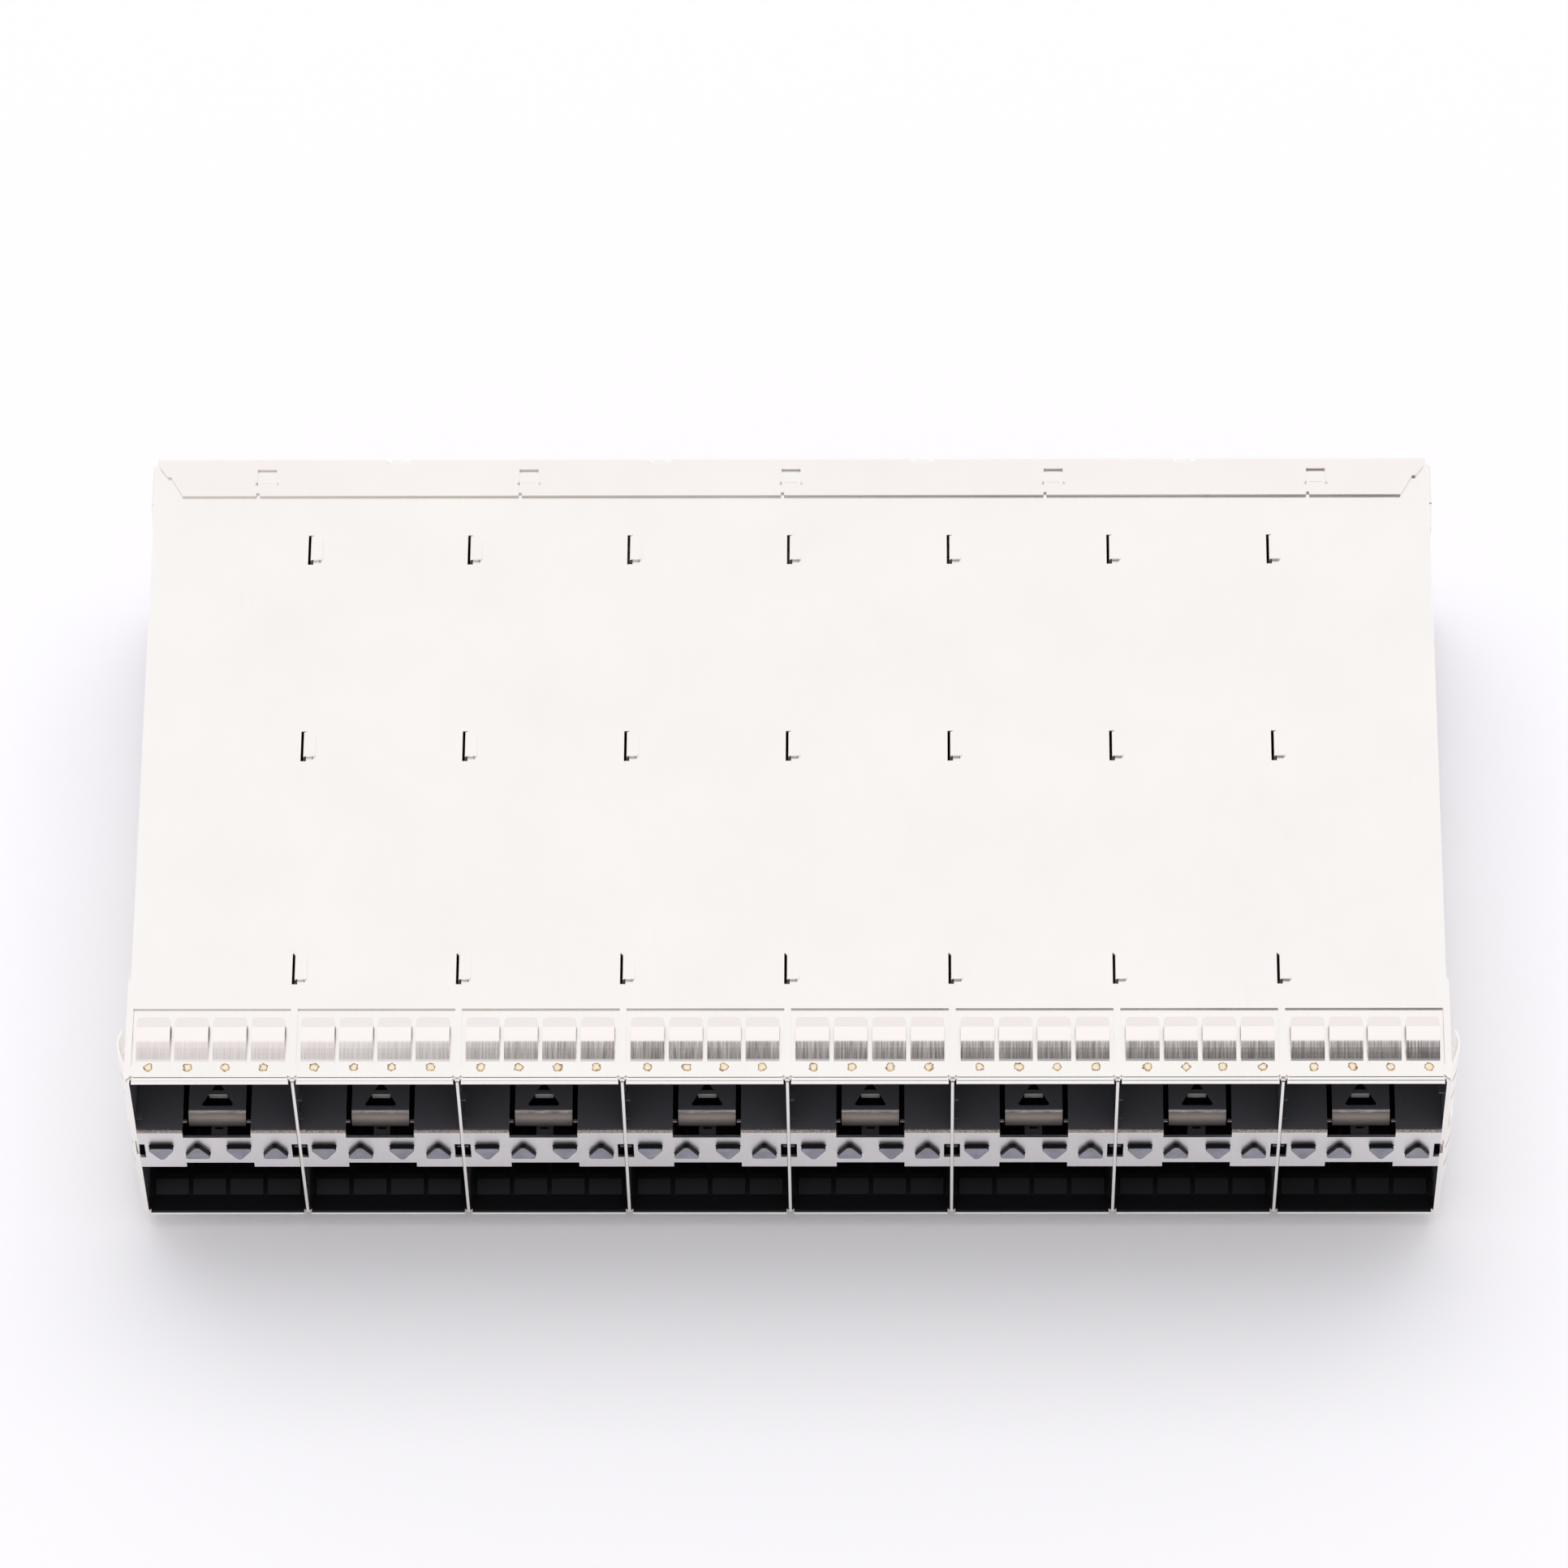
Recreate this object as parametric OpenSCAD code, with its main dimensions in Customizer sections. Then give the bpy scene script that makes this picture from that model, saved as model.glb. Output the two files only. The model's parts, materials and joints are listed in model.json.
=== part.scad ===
// Stacked, ganged pluggable-module cage: two rows of eight ports, belly to belly,
// in one press-fit sheet-metal assembly with finger collar, light pipes and
// stacked card-edge connectors.
// Origin: centre of the footprint on the board's top face. +X right, the ports
// open towards -Y, +Z up. Millimetres.

/* [Cage] */
// Distance between the centres of neighbouring ports
port_pitch = 14.25; // [14.25:0.25:16]
// Clear height of each port
port_h = 8.65; // [8.6:0.05:9.2]
// Height of the separator between the upper and the lower port
sep_h = 6.6; // [6.4:0.1:8]
// Depth from the front edge of the shell to the outer face of the rear cover
cage_d = 63.4; // [62:0.2:72]
// Thickness of the cage sheet
sheet_t = 0.25; // [0.2:0.05:0.3]
// Outer radius of the long bends of the shell
bend_r = 0.5; // [0.4:0.1:0.8]
// Clearance between sheets that lie on each other
sheet_fit = 0.03; // [0.02:0.01:0.05]

/* [Front collar] */
// Thickness of the collar sheet
collar_t = 0.2; // [0.15:0.05:0.25]
// Set-back of the collar's front edge from the shell's front edge
collar_set = 0.2; // [0.2:0.05:0.5]
// Depth of the collar on the top, from the shell's front edge
collar_top_d = 12.9; // [12.8:0.1:15]
// Depth of the collar at its top corners and on its sides
collar_side_d = 10; // [9.5:0.1:11]
// Depth of the collar under the cage, in front of the board's edge
collar_low_d = 8; // [7.6:0.1:9]
// Length of the shallow part of the collar's rear edge from the side
collar_step_w = 5.3; // [4:0.1:6]
// Width of one spring finger
finger_w = 2.9; // [2.4:0.1:3]
// Width of the slot beside a finger
finger_slot = 0.412; // [0.3:0.004:0.42]
// Distance from the shell's front edge to the bottom of the finger slots
finger_root = 1.25; // [1.1:0.05:1.4]
// Distance from the shell's front edge to the fingers' highest line
finger_apex = 4.6; // [4:0.1:4.8]
// Distance from the shell's front edge to the fingers' tips
finger_tip = 5.8; // [5.4:0.1:6]
// Distance from the shell's front edge to the back edge of the finger windows
window_back = 6.95; // [6.7:0.05:7.2]
// Height of the fingers' highest line above the collar
finger_rise = 0.85; // [0.6:0.05:0.95]
// Height of the fingers' tips above the collar
tip_rise = 0.5; // [0.3:0.05:0.55]

/* [Port springs] */
// Thickness of the spring clips folded round the front edges
clip_t = 0.15; // [0.1:0.01:0.18]
// Gap between neighbouring spring clips
clip_gap = 0.65; // [0.5:0.05:1.2]
// Depth of the clips' inner spring fingers from the front edge
clip_d = 6; // [5:0.5:8]
// Bow of the inner spring fingers into the port
clip_bow = 0.55; // [0.3:0.05:0.8]

/* [Divider tabs] */
// Depth of the first row of folded tabs, from the front edge
tab_y1 = 10.95; // [10.6:0.05:11.1]
// Depth of the second row of folded tabs
tab_y2 = 33.55; // [30:0.05:36]
// Distance of the third row of folded tabs from the rear cover's outer face
tab_rear = 9.5; // [8:0.1:12]
// Length of a folded tab along the cage
tab_len = 2.5; // [2:0.1:2.8]
// Reach of a folded tab across the cage
tab_reach = 1.1; // [0.9:0.05:1.4]
// Room in the slot in front of a tab
tab_front_gap = 0.35; // [0.2:0.05:0.4]
// Room in the slot beside and behind a tab
tab_side_gap = 0.2; // [0.15:0.05:0.3]

/* [Separator] */
// Distance that the face plate stands in front of the shell's front edge
face_out = 0.33; // [0.25:0.02:0.45]
// Outer radius of the separator's front bends
sep_r = 0.3; // [0.3:0.05:0.5]
// Width of the notches in the face plate
notch_w = 5.95; // [5.8:0.05:6.4]
// Depth of the notches in the face plate
notch_h = 1.0; // [0.8:0.1:1.2]
// Width of the notches in the face plate's ends
end_notch_w = 0.55; // [0.45:0.05:0.6]
// Height of the notches in the face plate's ends
end_notch_h = 2.4; // [2:0.1:3]
// Width of a latch tongue
tongue_w = 5.0; // [4.6:0.1:5.2]
// Length of a latch tongue's slits from the front edge
tongue_d = 14; // [12:0.5:18]
// Distance from the front edge to the start of the tongue's lead-in ramp
ramp_y = 2.05; // [1.9:0.05:2.3]
// Side of the triangular latch hole
latch_side = 3.0; // [2.6:0.1:3.4]
// Distance from the front edge to the base of the latch hole
latch_y = 2.3; // [2.3:0.1:2.8]
// Width of a light-pipe window
window_w = 2.65; // [2.4:0.05:2.8]
// Height of a light-pipe window
window_h = 2.3; // [2.1:0.05:2.4]
// Distance of the inner light-pipe windows from the port's centre
window_x1 = 1.82; // [1.7:0.02:2]
// Distance of the outer light-pipe windows from the port's centre
window_x2 = 4.98; // [4.8:0.02:5.1]
// Step of the light-pipe windows, up where they point up, and down
window_step = 0.22; // [0.15:0.01:0.3]

/* [Light pipes] */
// Side of a light pipe's square section
pipe_s = 1.3; // [1.1:0.1:1.3]
// Room round a light pipe in its window
pipe_gap = 0.06; // [0.04:0.02:0.12]
// Distance that the light pipes' ends stand in front of the face plate
pipe_out = 0.45; // [0.2:0.05:0.5]
// Room between the light pipes' legs and the connector's body
leg_gap = 1.3; // [0.8:0.1:1.5]
// Distance between the inner and the outer light pipes' legs along the cage
leg_step = 2.1; // [1.7:0.1:2.1]

/* [Connector] */
// Distance from the rear cover's outer face to the front of the connector's noses
nose_back = 20.9; // [20.5:0.1:22]
// Depth of the connector's body
body_d = 12.7; // [12.5:0.1:13]
// Room between the connector's body and the rear cover
body_gap = 3.2; // [3:0.1:3.6]
// Width of the connector's body
body_w = 12.8; // [12.4:0.1:13.2]
// Width of the connector's noses
nose_w = 10.4; // [10.2:0.1:10.6]
// Height of the connector's noses
nose_h = 5.6; // [5:0.1:6]
// Width of the card slots
slot_w = 9.4; // [9.2:0.1:9.6]
// Height of the card slots
slot_h = 1.2; // [1.1:0.05:1.4]
// Pitch of the contacts
contact_pitch = 0.8; // [0.7:0.05:0.85]
// Width of a contact
contact_w = 0.3; // [0.25:0.05:0.4]
// Thickness of a contact
contact_t = 0.2; // [0.15:0.05:0.25]
// Depth of the contacts' tips behind the nose's front face
contact_in = 0.8; // [0.7:0.05:1.2]
// Length of the contacts' sprung tips
contact_tip = 2.6; // [2.2:0.1:3]
// Height of a contact beam above the card slot's middle
contact_z = 1.05; // [0.9:0.05:1.1]
// Bow of a contact towards the card
contact_bow = 0.55; // [0.4:0.05:0.6]
// Length of the contacts' tails below the board's top face
contact_tail = 1.9; // [1.5:0.1:2]

/* [Tails and rear cover] */
// Length of the cage's press-fit tails below the board's top face
tail_len = 2.3; // [2.1:0.1:3]
// Width of a press-fit tail across its eye
tail_w = 0.9; // [0.8:0.05:1.1]
// Depth of the first row of press-fit tails from the front edge
tail_y1 = 13.5; // [13:0.5:15]
// Distance of the last press-fit tails in the bottom plate from its rear edge
tail_end = 6.7; // [3:0.1:10]
// Distance of the last side hook of the bottom plate from its rear edge
hook_end = 1.2; // [1:0.1:4]
// Distance of the shell's tails beside the connectors from the connector's nose
tail_mid = 4; // [2:0.5:8]
// Gap between the shell's rear edge and the rear cover
rear_gap = 0.2; // [0.1:0.05:0.4]
// Length of the rear cover's top flap
flap_d = 4.0; // [3.6:0.1:5]
// Length of the rear cover's side flaps
side_flap_d = 5.5; // [5:0.1:7]
// Distance between the rear cover's snap windows
snap_pitch = 23.5; // [20:0.5:24]
// Width of a snap window
snap_w = 1.7; // [1.5:0.1:2]

/* [Hidden] */
ports = 8;
fingers = 4;
side_fingers = 3;
steel = [0.95, 0.94, 0.92];
plated = [0.80, 0.79, 0.83];
black = [0.13, 0.13, 0.14];
smoke = [0.36, 0.36, 0.41];
brass = [0.80, 0.66, 0.34];

shell_w = ports * port_pitch + sheet_t;
shell_h = 2 * sheet_t + 2 * port_h + sep_h;
shell_d = cage_d - sheet_t - rear_gap;
clip_w = port_pitch - clip_gap;
tab_y3 = cage_d - tab_rear;
low_z = sheet_t;
sep_z = low_z + port_h;
sep_top = sep_z + sep_h;
port_w = port_pitch - sheet_t;
nose_y = cage_d - nose_back;
body_y = cage_d - body_gap - body_d;
sep_d = nose_y - 0.3;
window_z = sep_z + sep_h / 2 + 0.1;
notch_z = sep_z + sep_h / 2 - 0.1;
comb_w = fingers * finger_w + (fingers + 1) * finger_slot;
side_comb_w = side_fingers * finger_w + (side_fingers + 1) * finger_slot;
tab_rows = [tab_y1, tab_y2, tab_y3];
tail_step = (sep_d - tail_end - tail_y1) / 2;
low_tails = [for (i = [0:2]) tail_y1 + i * tail_step];
rear_tail = shell_d - 5;

function port_x(k) = (k - (ports + 1) / 2) * port_pitch;
function div_x(k) = (k - ports / 2) * port_pitch;

// ---- helpers for sheet-metal outlines ----
function unit(v) = v / norm(v);
function left(v) = [-v[1], v[0]];
function arc(c, r, a0, a1, n = 6) =
    [for (i = [0:n]) let (a = a0 + (a1 - a0) * i / n) [c[0] + r * cos(a), c[1] + r * sin(a)]];
// sideways step of a bent strip's edge at point i of its centre line
function miter(p, i) =
    let (n = len(p),
         a = i > 0 ? left(unit(p[i] - p[i - 1])) : left(unit(p[1] - p[0])),
         b = i < n - 1 ? left(unit(p[i + 1] - p[i])) : a)
    (a + b) / (1 + a * b);
// outline of a strip of thickness t bent along the line p
function strip(p, t) =
    concat([for (i = [0:len(p) - 1]) p[i] + miter(p, i) * t / 2],
           [for (i = [len(p) - 1:-1:0]) p[i] - miter(p, i) * t / 2]);
// a polygon with its corners rounded by the radii in r
function fillet(p, r, n = 4) =
    [for (i = [0:len(p) - 1])
        let (q = p[i], u = unit(p[(i + len(p) - 1) % len(p)] - q), v = unit(p[(i + 1) % len(p)] - q),
             h = acos(max(-1, min(1, u * v))) / 2)
        for (j = [0:r[i] > 0 ? n : 0])
            r[i] <= 0 ? q :
            let (c = q + unit(u + v) * r[i] / sin(h), s = q + u * r[i] / tan(h) - c,
                 e = q + v * r[i] / tan(h) - c, a0 = atan2(s[1], s[0]),
                 d = atan2(s[0] * e[1] - s[1] * e[0], s * e))
            [c[0] + r[i] * cos(a0 + d * j / n), c[1] + r[i] * sin(a0 + d * j / n)]];

module place() translate([0, -cage_d / 2, 0]) children();
// outline drawn in x, z and carried back over the depth d
module back_along(d) translate([0, d, 0]) rotate([90, 0, 0]) linear_extrude(d) children();
// outline drawn in y, z and carried across the width w, centred
module across(w) translate([-w / 2, 0, 0]) rotate([90, 0, 90]) linear_extrude(w) children();
module box(x0, x1, y0, y1, z0, z1)
    translate([x0, y0, z0]) cube([x1 - x0, y1 - y0, z1 - z0]);

// ---- press-fit tail, drawn downwards from its shoulder ----
module tail_outline(top) {
    n = tail_w / 3;
    difference() {
        polygon([[-n, top], [-n, -0.4], [-tail_w / 2, -0.8], [-tail_w / 2, -1.3],
            [-n * 0.8, -1.75], [-0.1, -tail_len], [0.1, -tail_len], [n * 0.8, -1.75],
            [tail_w / 2, -1.3], [tail_w / 2, -0.8], [n, -0.4], [n, top]]);
        polygon([[-0.07, -0.6], [-0.19, -0.85], [-0.19, -1.25], [-0.07, -1.5],
            [0.07, -1.5], [0.19, -1.25], [0.19, -0.85], [0.07, -0.6]]);
    }
}
// tail in a sheet that runs front to back
module tail_y(x, y, top) translate([x, y, 0]) across(sheet_t) tail_outline(top);
// tail in a sheet that runs left to right
module tail_x(x, y, top) translate([x, y - sheet_t / 2, 0]) back_along(sheet_t) tail_outline(top);

// ---- shell: top sheet and two side walls in one bent sheet ----
module shell_outline() {
    w = shell_w / 2;
    polygon(concat([[-w, 0]],
        arc([-w + bend_r, shell_h - bend_r], bend_r, 180, 90),
        arc([w - bend_r, shell_h - bend_r], bend_r, 90, 0),
        [[w, 0], [w - sheet_t, 0]],
        arc([w - bend_r, shell_h - bend_r], bend_r - sheet_t, 0, 90),
        arc([-w + bend_r, shell_h - bend_r], bend_r - sheet_t, 90, 180),
        [[-w + sheet_t, 0]]));
}
module tab_slot(k, y) {
    box(div_x(k) - sheet_t / 2 - tab_side_gap, div_x(k) + sheet_t / 2 + sheet_fit,
        y - tab_len / 2 - tab_front_gap, y + tab_len / 2 + tab_side_gap,
        shell_h - 1, shell_h + 1);
}
// small pushed-up catch that snaps into a window of the rear cover
module snap_catch() across(snap_w - 0.5)
    polygon([[-0.5, -sheet_t / 2], [-0.5, 0.02], [0.45, sheet_t + 0.02], [0.45, -sheet_t / 2]]);
module cage_shell() color(steel) place() {
    difference() {
        union() {
            back_along(shell_d) shell_outline();
            for (i = [-2:2]) translate([i * snap_pitch, cage_d - flap_d / 2, shell_h]) snap_catch();
            for (i = [-1.5:1:1.5]) box(i * snap_pitch - 0.6, i * snap_pitch + 0.6,
                shell_d - 0.5, cage_d - 0.06, shell_h - sheet_t, shell_h);
            for (s = [-1, 1]) {
                for (z = side_snaps()) translate([s * shell_w / 2, cage_d - side_flap_d / 2, z])
                    rotate([0, s * 90, 0]) snap_catch();
                for (y = concat(low_tails, [nose_y + tail_mid, rear_tail]))
                    tail_y(s * (shell_w / 2 - sheet_t / 2), y, 0.3);
            }
        }
        for (k = [1:ports - 1], y = tab_rows) tab_slot(k, y);
        // rounded reliefs in the front edge at the ends of the spring clips
        for (k = [1:ports], s = [-1, 1])
            translate([port_x(k) + s * clip_w / 2, 0, shell_h - 1]) cylinder(r = 0.14, h = 2, $fn = 24);
        // hook windows of the bottom plate
        for (s = [-1, 1], y = plate_hooks()) box(s * shell_w / 2 - 0.4, s * shell_w / 2 + 0.4,
            y - 0.8, y + 0.8, -sheet_fit, sheet_t + sheet_fit);
        // notches in the side walls' front edges, level with the separator's end notches
        for (s = [-1, 1]) box(s * shell_w / 2 - 1, s * shell_w / 2 + 1, -1, 0.45,
            notch_z - end_notch_h / 2, notch_z + end_notch_h / 2);
    }
    // small spring lugs towards the ports
    for (p = [[-1, sep_top + 0.65], [1, sep_top + 5.3]])
        box(p[0] < 0 ? -shell_w / 2 + 0.1 : shell_w / 2 - sheet_t - 0.55,
            p[0] < 0 ? sheet_t + 0.55 - shell_w / 2 : shell_w / 2 - 0.1, 0.6, 1.3, p[1], p[1] + 0.14);
}
function side_snaps() = [shell_h * 0.25, shell_h * 0.75];
function plate_hooks() =
    let (y0 = tail_y1 + tail_step / 2, y1 = sep_d - hook_end)
    [for (i = [0:2]) y0 + (y1 - y0) * i / 2];

// ---- collar with spring fingers all round the front ----
module collar_ring() {
    wi = shell_w / 2 + sheet_fit;
    zi = shell_h + sheet_fit;
    ro = bend_r + sheet_fit + collar_t;
    difference() {
        polygon(concat(
            arc([-wi + bend_r, zi - bend_r], ro - sheet_fit, 180, 90),
            arc([wi - bend_r, zi - bend_r], ro - sheet_fit, 90, 0),
            arc([wi, -sheet_fit], collar_t, 0, -90, 3),
            arc([-wi, -sheet_fit], collar_t, 270, 180, 3)));
        polygon(concat([[-wi, -sheet_fit]],
            arc([-wi + bend_r, zi - bend_r], bend_r, 180, 90),
            arc([wi - bend_r, zi - bend_r], bend_r, 90, 0),
            [[wi, -sheet_fit]]));
    }
}
// window between the bars, with a round-ended slot on each side of every finger
module comb_window(n, h) {
    w = n * finger_w + (n + 1) * finger_slot;
    root = finger_root + 0.5;
    translate([0, 0, -h]) linear_extrude(2 * h) polygon(concat([[-w / 2, window_back]],
        [for (i = [0:n])
            let (x = -w / 2 + finger_slot / 2 + i * (finger_w + finger_slot))
            for (q = concat([[x - finger_slot / 2, root]],
                arc([x, finger_root + finger_slot / 2], finger_slot / 2, 180, 360, 4),
                [[x + finger_slot / 2, root]])) q],
        [[w / 2, window_back]]));
}
// centre line of a finger: a steep root, an arch that flattens to the top, a sloping tip
function finger_line() =
    let (y0 = finger_root + 0.5, c = collar_t / 2, d = finger_apex - y0)
    concat([[y0 - 0.15, c]],
        [for (i = [0:8]) let (u = i / 8) [y0 + d * u, c + finger_rise * (1 - pow(1 - u, 1.8))]],
        [[finger_apex + 0.2, c + finger_rise - 0.04], [finger_tip, c + tip_rise]]);
module finger() intersection() {
    across(finger_w) polygon(strip(finger_line(), collar_t));
    translate([0, 0, -1]) linear_extrude(4)
        polygon(fillet([[-finger_w / 2, finger_root], [finger_w / 2, finger_root],
            [finger_w / 2, finger_tip], [-finger_w / 2, finger_tip]], [0, 0, 0.42, 0.42]));
}
module finger_row(n) for (i = [0:n - 1])
    translate([(i - (n - 1) / 2) * (finger_w + finger_slot), 0, 0]) finger();
module front_collar() color(steel) place() {
    z0 = shell_h + sheet_fit;
    x0 = shell_w / 2 + sheet_fit;
    side_z = [low_z + port_h / 2 + 1.5, sep_top + port_h / 2 - 1.5];
    difference() {
        translate([0, collar_set, 0]) back_along(collar_top_d - collar_set) collar_ring();
        // rear edge: shallow at the sides, a slope, then the full depth
        for (s = [-1, 1]) mirror([s < 0 ? 1 : 0, 0, 0]) translate([0, 0, shell_h - 1])
            linear_extrude(3) polygon([[x0 - collar_step_w, collar_side_d], [x0 + 1, collar_side_d],
                [x0 + 1, collar_top_d + 1],
                [x0 - collar_step_w - (collar_top_d - collar_side_d) - 1, collar_top_d + 1]]);
        for (s = [-1, 1]) box(s * x0 - 1, s * x0 + 1, collar_side_d, collar_top_d + 1,
            -1, shell_h + 1);
        box(-x0 - 1, x0 + 1, collar_low_d, collar_top_d + 1, -1, sheet_t);
        for (k = [1:ports - 1]) {
            tab_slot(k, tab_y1);
            box(div_x(k) - 0.2, div_x(k) + 0.2, tab_y1, collar_top_d + 1, shell_h - 1, shell_h + 1);
        }
        for (k = [1:ports]) translate([port_x(k), 0, 0]) {
            translate([0, 0, z0]) comb_window(fingers, 1);
            comb_window(fingers, 1);
            // rounded reliefs at the ends of the spring clips
            for (s = [-1, 1]) translate([s * clip_w / 2, collar_set, -1])
                cylinder(r = 0.16, h = shell_h + 2, $fn = 24);
        }
        for (s = [-1, 1], z = side_z) translate([s * x0, 0, z]) rotate([0, s * 90, 0])
            comb_window(side_fingers, 1);
        // seam of the closed ring
        box(-0.06, 0.06, -1, collar_top_d, -1, sheet_t);
    }
    for (k = [1:ports]) translate([port_x(k), 0, 0]) {
        translate([0, 0, z0]) finger_row(fingers);
        translate([0, 0, -sheet_fit]) mirror([0, 0, 1]) finger_row(fingers);
    }
    for (s = [-1, 1], z = side_z) translate([s * x0, 0, z]) rotate([0, s * 90, 0])
        finger_row(side_fingers);
}

// ---- bottom plate under the lower ports ----
module bottom_plate() color(steel) place() {
    x0 = shell_w / 2 - sheet_t - sheet_fit;
    difference() {
        union() {
            box(-x0, x0, 0, sep_d, 0, sheet_t);
            for (s = [-1, 1], y = plate_hooks())
                box(s < 0 ? -shell_w / 2 : x0 - 0.3, s < 0 ? -x0 + 0.3 : shell_w / 2,
                    y - 0.7, y + 0.7, 0, sheet_t);
        }
        for (k = [1:ports - 1], y = low_tails)
            box(div_x(k) - sheet_t / 2 - sheet_fit, div_x(k) + sheet_t / 2 + sheet_fit,
                y - tail_w / 2 - 0.1, y + tail_w / 2 + 0.1, -1, 1);
        for (k = [1:ports], s = [-1, 1])
            translate([port_x(k) + s * clip_w / 2, 0, -1]) cylinder(r = 0.14, h = 2, $fn = 24);
    }
}

// ---- dividers between the ports ----
// plan of a folded tab with its outer corners rounded
module tab_fold(y, z) {
    ri = 0.08;
    c = [sheet_t / 2 + ri, z + sheet_fit - ri];
    translate([0, y, 0]) intersection() {
        translate([0, -tab_len / 2, 0]) back_along(tab_len) polygon(concat(
            [[-sheet_t / 2, shell_h - 2 * sheet_t]],
            arc(c, ri + sheet_t, 180, 90), [[-sheet_t / 2 + tab_reach, c[1] + ri + sheet_t],
            [-sheet_t / 2 + tab_reach, c[1] + ri]],
            arc(c, ri, 90, 180), [[sheet_t / 2, shell_h - 2 * sheet_t]]));
        translate([0, 0, z - 2]) linear_extrude(4) polygon(fillet(
            [[-1, -tab_len / 2], [-sheet_t / 2 + tab_reach, -tab_len / 2],
            [-sheet_t / 2 + tab_reach, tab_len / 2], [-1, tab_len / 2]], [0, 0.3, 0.3, 0]));
    }
}
module divider(k) color(steel) place() translate([div_x(k), 0, 0]) {
    z1 = shell_h - sheet_t - sheet_fit;
    difference() {
        union() {
            box(-sheet_t / 2, sheet_t / 2, -0.1, shell_d - 0.4, sheet_t + sheet_fit, z1);
            for (y = tab_rows) tab_fold(y, y == tab_y1 ? shell_h + collar_t + sheet_fit : shell_h);
            for (y = concat(low_tails, [rear_tail])) tail_y(0, y, sheet_t + 0.3);
            // cross lugs in the face plates' end notches
            box(-0.5, 0.5, 0, 0.22, notch_z + 0.05, notch_z + 0.3);
            // small spring lugs towards the port on the right
            for (z = [sep_top + 0.65, sep_top + 4.05]) box(0, 0.55, 0.6, 1.3, z, z + 0.14);
        }
        // oblong lightening windows behind the ports, between the connectors
        for (z = [low_z + 3.2, sep_top + 1.6]) box(-1, 1, body_y + 2, body_y + body_d - 3.5, z, z + 4);
    }
}

// ---- separator: folded sheet with face plate and two latch tongues ----
function sep_line() =
    let (r = sep_r - sheet_t / 2, t = sheet_t / 2)
    concat([[sep_d, sep_top - t]], arc([sep_r - face_out, sep_top - sep_r], r, 90, 180),
        arc([sep_r - face_out, sep_z + sep_r], r, 180, 270), [[sep_d, sep_z + t]]);
// centre line of the upper tongue, from its root to its rolled front end
function tongue_line() =
    let (r = 0.7, c = [ramp_y, sep_top - sheet_t / 2 - r])
    concat([[tongue_d + 0.3, sep_top - sheet_t / 2]], arc(c, r, 90, 145, 5),
        [[ramp_y - 1.05, sep_top - sheet_t / 2 - 1.05]]);
module tongue() {
    difference() {
        across(tongue_w) polygon(strip(tongue_line(), sheet_t));
        translate([0, latch_y, sep_top - 1]) linear_extrude(2) polygon(fillet(
            [[-latch_side / 2, 0], [latch_side / 2, 0], [0, latch_side * 0.866]],
            [0.2, 0.2, 0.2]));
        // rounded corners of the rolled front end
        for (s = [-1, 1]) mirror([s < 0 ? 1 : 0, 0, 0])
            translate([tongue_w / 2 - 0.4, 0, sep_top - 1.3]) back_along(ramp_y - 0.4)
                polygon([[0.42, -0.4], [0.42, 0.4], [0.4, 0.35], [0.37, 0.2], [0.28, 0.08],
                    [0.15, 0.02], [0, -0.02], [0, -0.4]]);
    }
}
// triangular window outline; up is 1 for a point at the top, -1 at the bottom
module pipe_outline(up, g) scale([1, up]) polygon(fillet(
    [[-window_w / 2 + g, -window_h / 2 + g * 0.7], [window_w / 2 - g, -window_h / 2 + g * 0.7],
    [0, window_h / 2 - g]], [0.27, 0.27, 0.3]));
function pipe_z(up) = window_z + up * window_step;
function pipe_place() = [[-window_x2, -1], [-window_x1, 1], [window_x1, -1], [window_x2, 1]];
module separator(k) color(plated) place() translate([port_x(k), 0, 0]) {
    w = port_w - 2 * sheet_fit;
    difference() {
        across(w) polygon(strip(sep_line(), sheet_t));
        box(-notch_w / 2, notch_w / 2, -1, tongue_d, sep_top - notch_h, sep_top + 1);
        box(-notch_w / 2, notch_w / 2, -1, tongue_d, sep_z - 1, sep_z + notch_h);
        for (p = pipe_place()) translate([p[0], -1, pipe_z(p[1])]) back_along(2) pipe_outline(p[1], 0);
        for (s = [-1, 1]) box(s * w / 2 - end_notch_w, s * w / 2 + end_notch_w, -1, sep_r + 0.2,
            notch_z - end_notch_h / 2, notch_z + end_notch_h / 2);
    }
    tongue();
    translate([0, 0, sep_z + sep_top]) mirror([0, 0, 1]) tongue();
    // lip bent from the rear of each latch hole
    for (z = [sep_top - sheet_t - 0.85, sep_z + 0.1])
        box(-0.8, 0.8, latch_y + 1.35, latch_y + 1.6, z, z + sheet_t + 0.75);
    // stop lugs beside the tongues
    for (s = [-1, 1], z = [sep_top - sheet_t, sep_z])
        box(s > 0 ? notch_w / 2 - 0.36 : -notch_w / 2 - 0.1, s > 0 ? notch_w / 2 + 0.1 : 0.36 - notch_w / 2,
            0.75, 0.95, z, z + sheet_t);
}

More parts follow.
